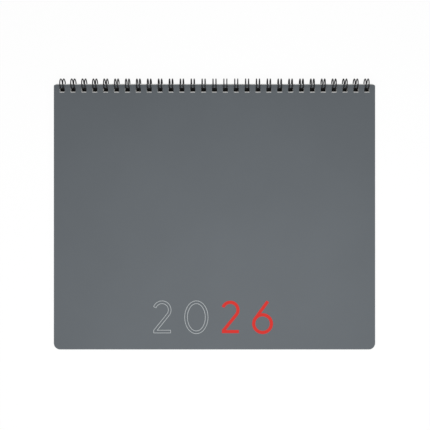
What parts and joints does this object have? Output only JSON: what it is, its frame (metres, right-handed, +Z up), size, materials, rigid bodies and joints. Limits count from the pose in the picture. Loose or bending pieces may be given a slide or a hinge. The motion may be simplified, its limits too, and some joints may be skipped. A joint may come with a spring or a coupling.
{
  "type": "annual planner",
  "caption": "Landscape annual planner: plastic covers and punched paper leaves that each turn on a twin-loop wire along the long edge.",
  "frame": {"origin": "on the table, under the middle of the closed planner's box", "axes": "+X along the wire to the reader's right, +Y from the foot of the sheets towards the wire, +Z up through the front cover"},
  "size_m": [0.25, 0.2111, 0.0088],
  "materials": {
    "wire_coating": "satin",
    "cover_plastic": "matte",
    "paper": "uncoated"
  },
  "bodies": {
    "base": {"wire_binding": "wire_coating", "back_cover": "cover_plastic"},
    "notes_leaf_3": {"notes_leaf_3": "paper"},
    "notes_leaf_2": {"notes_leaf_2": "paper"},
    "notes_leaf_1": {"notes_leaf_1": "paper"},
    "next_year_leaf": {"next_year_leaf": "paper"},
    "december_tasks_leaf": {"december_tasks_leaf": "paper"},
    "december_plan_leaf": {"december_plan_leaf": "paper"},
    "november_tasks_leaf": {"november_tasks_leaf": "paper"},
    "november_plan_leaf": {"november_plan_leaf": "paper"},
    "october_tasks_leaf": {"october_tasks_leaf": "paper"},
    "october_plan_leaf": {"october_plan_leaf": "paper"},
    "september_tasks_leaf": {"september_tasks_leaf": "paper"},
    "september_plan_leaf": {"september_plan_leaf": "paper"},
    "august_tasks_leaf": {"august_tasks_leaf": "paper"},
    "august_plan_leaf": {"august_plan_leaf": "paper"},
    "july_tasks_leaf": {"july_tasks_leaf": "paper"},
    "july_plan_leaf": {"july_plan_leaf": "paper"},
    "june_tasks_leaf": {"june_tasks_leaf": "paper"},
    "june_plan_leaf": {"june_plan_leaf": "paper"},
    "may_tasks_leaf": {"may_tasks_leaf": "paper"},
    "may_plan_leaf": {"may_plan_leaf": "paper"},
    "april_tasks_leaf": {"april_tasks_leaf": "paper"},
    "april_plan_leaf": {"april_plan_leaf": "paper"},
    "march_tasks_leaf": {"march_tasks_leaf": "paper"},
    "march_plan_leaf": {"march_plan_leaf": "paper"},
    "february_tasks_leaf": {"february_tasks_leaf": "paper"},
    "february_plan_leaf": {"february_plan_leaf": "paper"},
    "january_tasks_leaf": {"january_tasks_leaf": "paper"},
    "january_plan_leaf": {"january_plan_leaf": "paper"},
    "year_plan_leaf": {"year_plan_leaf": "paper"},
    "title_leaf": {"title_leaf": "paper"},
    "front_cover": {"front_cover": "cover_plastic"}
  },
  "joints": [
    {"name": "cover_turn", "type": "hinge", "parent": "title_leaf", "child": "front_cover", "pos_m": [0, 0.10125, 0.00448], "axis": [-1, 0, 0], "range_deg": [0, 180]},
    {"name": "title_turn", "type": "hinge", "parent": "year_plan_leaf", "child": "title_leaf", "pos_m": [0, 0.10125, 0.00448], "axis": [-1, 0, 0], "range_deg": [0, 180]},
    {"name": "year_plan_turn", "type": "hinge", "parent": "january_plan_leaf", "child": "year_plan_leaf", "pos_m": [0, 0.10125, 0.00448], "axis": [-1, 0, 0], "range_deg": [0, 180]},
    {"name": "january_plan_turn", "type": "hinge", "parent": "january_tasks_leaf", "child": "january_plan_leaf", "pos_m": [0, 0.10125, 0.00448], "axis": [-1, 0, 0], "range_deg": [0, 180]},
    {"name": "january_tasks_turn", "type": "hinge", "parent": "february_plan_leaf", "child": "january_tasks_leaf", "pos_m": [0, 0.10125, 0.00448], "axis": [-1, 0, 0], "range_deg": [0, 180]},
    {"name": "february_plan_turn", "type": "hinge", "parent": "february_tasks_leaf", "child": "february_plan_leaf", "pos_m": [0, 0.10125, 0.00448], "axis": [-1, 0, 0], "range_deg": [0, 180]},
    {"name": "february_tasks_turn", "type": "hinge", "parent": "march_plan_leaf", "child": "february_tasks_leaf", "pos_m": [0, 0.10125, 0.00448], "axis": [-1, 0, 0], "range_deg": [0, 180]},
    {"name": "march_plan_turn", "type": "hinge", "parent": "march_tasks_leaf", "child": "march_plan_leaf", "pos_m": [0, 0.10125, 0.00448], "axis": [-1, 0, 0], "range_deg": [0, 180]},
    {"name": "march_tasks_turn", "type": "hinge", "parent": "april_plan_leaf", "child": "march_tasks_leaf", "pos_m": [0, 0.10125, 0.00448], "axis": [-1, 0, 0], "range_deg": [0, 180]},
    {"name": "april_plan_turn", "type": "hinge", "parent": "april_tasks_leaf", "child": "april_plan_leaf", "pos_m": [0, 0.10125, 0.00448], "axis": [-1, 0, 0], "range_deg": [0, 180]},
    {"name": "april_tasks_turn", "type": "hinge", "parent": "may_plan_leaf", "child": "april_tasks_leaf", "pos_m": [0, 0.10125, 0.00448], "axis": [-1, 0, 0], "range_deg": [0, 180]},
    {"name": "may_plan_turn", "type": "hinge", "parent": "may_tasks_leaf", "child": "may_plan_leaf", "pos_m": [0, 0.10125, 0.00448], "axis": [-1, 0, 0], "range_deg": [0, 180]},
    {"name": "may_tasks_turn", "type": "hinge", "parent": "june_plan_leaf", "child": "may_tasks_leaf", "pos_m": [0, 0.10125, 0.00448], "axis": [-1, 0, 0], "range_deg": [0, 180]},
    {"name": "june_plan_turn", "type": "hinge", "parent": "june_tasks_leaf", "child": "june_plan_leaf", "pos_m": [0, 0.10125, 0.00448], "axis": [-1, 0, 0], "range_deg": [0, 180]},
    {"name": "june_tasks_turn", "type": "hinge", "parent": "july_plan_leaf", "child": "june_tasks_leaf", "pos_m": [0, 0.10125, 0.00448], "axis": [-1, 0, 0], "range_deg": [0, 180]},
    {"name": "july_plan_turn", "type": "hinge", "parent": "july_tasks_leaf", "child": "july_plan_leaf", "pos_m": [0, 0.10125, 0.00448], "axis": [-1, 0, 0], "range_deg": [0, 180]},
    {"name": "july_tasks_turn", "type": "hinge", "parent": "august_plan_leaf", "child": "july_tasks_leaf", "pos_m": [0, 0.10125, 0.00448], "axis": [-1, 0, 0], "range_deg": [0, 180]},
    {"name": "august_plan_turn", "type": "hinge", "parent": "august_tasks_leaf", "child": "august_plan_leaf", "pos_m": [0, 0.10125, 0.00448], "axis": [-1, 0, 0], "range_deg": [0, 180]},
    {"name": "august_tasks_turn", "type": "hinge", "parent": "september_plan_leaf", "child": "august_tasks_leaf", "pos_m": [0, 0.10125, 0.00448], "axis": [-1, 0, 0], "range_deg": [0, 180]},
    {"name": "september_plan_turn", "type": "hinge", "parent": "september_tasks_leaf", "child": "september_plan_leaf", "pos_m": [0, 0.10125, 0.00448], "axis": [-1, 0, 0], "range_deg": [0, 180]},
    {"name": "september_tasks_turn", "type": "hinge", "parent": "october_plan_leaf", "child": "september_tasks_leaf", "pos_m": [0, 0.10125, 0.00448], "axis": [-1, 0, 0], "range_deg": [0, 180]},
    {"name": "october_plan_turn", "type": "hinge", "parent": "october_tasks_leaf", "child": "october_plan_leaf", "pos_m": [0, 0.10125, 0.00448], "axis": [-1, 0, 0], "range_deg": [0, 180]},
    {"name": "october_tasks_turn", "type": "hinge", "parent": "november_plan_leaf", "child": "october_tasks_leaf", "pos_m": [0, 0.10125, 0.00448], "axis": [-1, 0, 0], "range_deg": [0, 180]},
    {"name": "november_plan_turn", "type": "hinge", "parent": "november_tasks_leaf", "child": "november_plan_leaf", "pos_m": [0, 0.10125, 0.00448], "axis": [-1, 0, 0], "range_deg": [0, 180]},
    {"name": "november_tasks_turn", "type": "hinge", "parent": "december_plan_leaf", "child": "november_tasks_leaf", "pos_m": [0, 0.10125, 0.00448], "axis": [-1, 0, 0], "range_deg": [0, 180]},
    {"name": "december_plan_turn", "type": "hinge", "parent": "december_tasks_leaf", "child": "december_plan_leaf", "pos_m": [0, 0.10125, 0.00448], "axis": [-1, 0, 0], "range_deg": [0, 180]},
    {"name": "december_tasks_turn", "type": "hinge", "parent": "next_year_leaf", "child": "december_tasks_leaf", "pos_m": [0, 0.10125, 0.00448], "axis": [-1, 0, 0], "range_deg": [0, 180]},
    {"name": "next_year_turn", "type": "hinge", "parent": "notes_leaf_1", "child": "next_year_leaf", "pos_m": [0, 0.10125, 0.00448], "axis": [-1, 0, 0], "range_deg": [0, 180]},
    {"name": "notes_1_turn", "type": "hinge", "parent": "notes_leaf_2", "child": "notes_leaf_1", "pos_m": [0, 0.10125, 0.00448], "axis": [-1, 0, 0], "range_deg": [0, 180]},
    {"name": "notes_2_turn", "type": "hinge", "parent": "notes_leaf_3", "child": "notes_leaf_2", "pos_m": [0, 0.10125, 0.00448], "axis": [-1, 0, 0], "range_deg": [0, 180]},
    {"name": "notes_3_turn", "type": "hinge", "parent": "base", "child": "notes_leaf_3", "pos_m": [0, 0.10125, 0.00448], "axis": [-1, 0, 0], "range_deg": [0, 180]}
  ]
}
